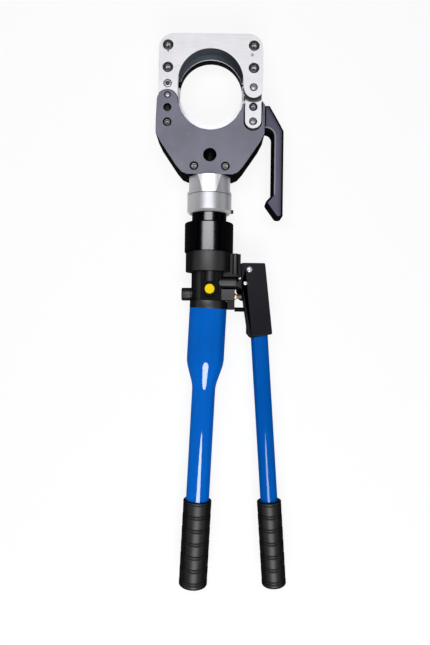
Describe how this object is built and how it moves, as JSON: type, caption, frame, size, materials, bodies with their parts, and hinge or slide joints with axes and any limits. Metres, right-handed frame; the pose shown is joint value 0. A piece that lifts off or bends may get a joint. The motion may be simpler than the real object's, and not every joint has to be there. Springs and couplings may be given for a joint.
{
  "type": "hydraulic cable cutter",
  "caption": "Hand-pumped hydraulic cable cutter: hinged gate over a ram-driven curved blade, side grip, pump lever and reservoir handle with rubber grips.",
  "frame": {"origin": "on the head's flat rear face, on the tool's long axis, behind the pin of the moving blade", "axes": "+X to the tool's right, +Y along the tool from the grips to the cutting head, +Z out of the head's front face"},
  "size_m": [0.1799, 0.7283, 0.065],
  "materials": {
    "plate_grey": "bluish grey satin coating",
    "gate_silver": "satin nickel-plated steel",
    "blade_steel": "ground tool steel",
    "screw_black": "black oxide",
    "pin_steel": "bright turned steel",
    "neck_silver": "turned bright plated steel",
    "handle_black": "dark grey coated casting",
    "gloss_black": "gloss black enamel",
    "cast_black": "matte black painted casting",
    "gloss_blue": "gloss blue enamel",
    "grip_rubber": "moulded black rubber",
    "seal_rubber": "oil-resistant rubber",
    "button_yellow": "yellow moulded plastic",
    "valve_brass": "turned brass",
    "spring_steel": "drawn spring wire"
  },
  "bodies": {
    "pump": {"pump_body": "cast_black", "cylinder_barrel": "gloss_black", "cylinder_sleeve": "gloss_black", "spring_anchor": "pin_steel", "suction_valve": "pin_steel", "delivery_valve": "pin_steel", "relief_plug": "cast_black", "button_ring": "screw_black", "button_spring": "spring_steel", "plunger_gland": "screw_black", "valve_seat": "valve_brass", "valve_stem": "pin_steel", "flange_ring": "cast_black", "reservoir_tube": "gloss_blue", "oil_bladder": "seal_rubber", "main_grip": "grip_rubber"},
    "head": {"front_side_plate": "plate_grey", "rear_side_plate": "plate_grey", "left_blade_guide": "blade_steel", "right_blade_guide": "blade_steel", "frame_screws": "screw_black", "gate_detents": "screw_black", "front_link": "gate_silver", "rear_link": "gate_silver", "hinge_pin": "pin_steel", "hinge_sleeve": "pin_steel", "link_pin": "pin_steel", "link_screw": "screw_black", "side_handle": "handle_black", "handle_screws": "screw_black", "neck": "neck_silver", "neck_set_screw": "screw_black", "rod_wiper": "seal_rubber"},
    "gate": {"gate_front_plate": "gate_silver", "gate_rear_plate": "gate_silver", "fixed_blade": "blade_steel", "left_gate_spacer": "blade_steel", "right_gate_spacer": "blade_steel", "gate_tongue": "gate_silver", "gate_screws": "screw_black", "tongue_screw": "pin_steel"},
    "ram": {"ram": "pin_steel", "piston_seal": "seal_rubber", "moving_blade": "blade_steel", "blade_pin": "pin_steel", "return_spring": "spring_steel"},
    "lever": {"lever_head": "handle_black", "lever_tube": "gloss_blue", "lever_grip": "grip_rubber", "lever_pivot_pin": "pin_steel", "plunger_pin": "pin_steel", "lever_stop_peg": "screw_black"},
    "plunger": {"pump_plunger": "pin_steel"},
    "button": {"release_button": "button_yellow"}
  },
  "joints": [
    {"name": "head_swivel", "type": "hinge", "parent": "pump", "child": "head", "pos_m": [0, -0.0576, 0.023], "axis": [0, 1, 0], "range_deg": [-90, 90]},
    {"name": "gate_hinge", "type": "hinge", "parent": "head", "child": "gate", "pos_m": [0.056, 0.0884, 0.023], "axis": [0, 0, 1], "range_deg": [-95, 0]},
    {"name": "ram_slide", "type": "slide", "parent": "head", "child": "ram", "axis": [0, 1, 0], "range_m": [0, 0.0903], "deforming": ["return_spring"]},
    {"name": "lever_swing", "type": "hinge", "parent": "pump", "child": "lever", "pos_m": [0.054, -0.1478, 0.023], "axis": [0, 0, 1], "range_deg": [0, 45]},
    {"name": "plunger_slide", "type": "slide", "parent": "pump", "child": "plunger", "axis": [1, 0, 0], "range_m": [0, 0.0146]},
    {"name": "button_press", "type": "slide", "parent": "pump", "child": "button", "axis": [0, 0, -1], "range_m": [0, 0.003], "stiffness_N_per_m": 500, "deforming": ["button_spring"]}
  ],
  "couplings": [
    {"joint": "plunger_slide", "follows": "lever_swing", "m_per_rad": 0.0184}
  ]
}
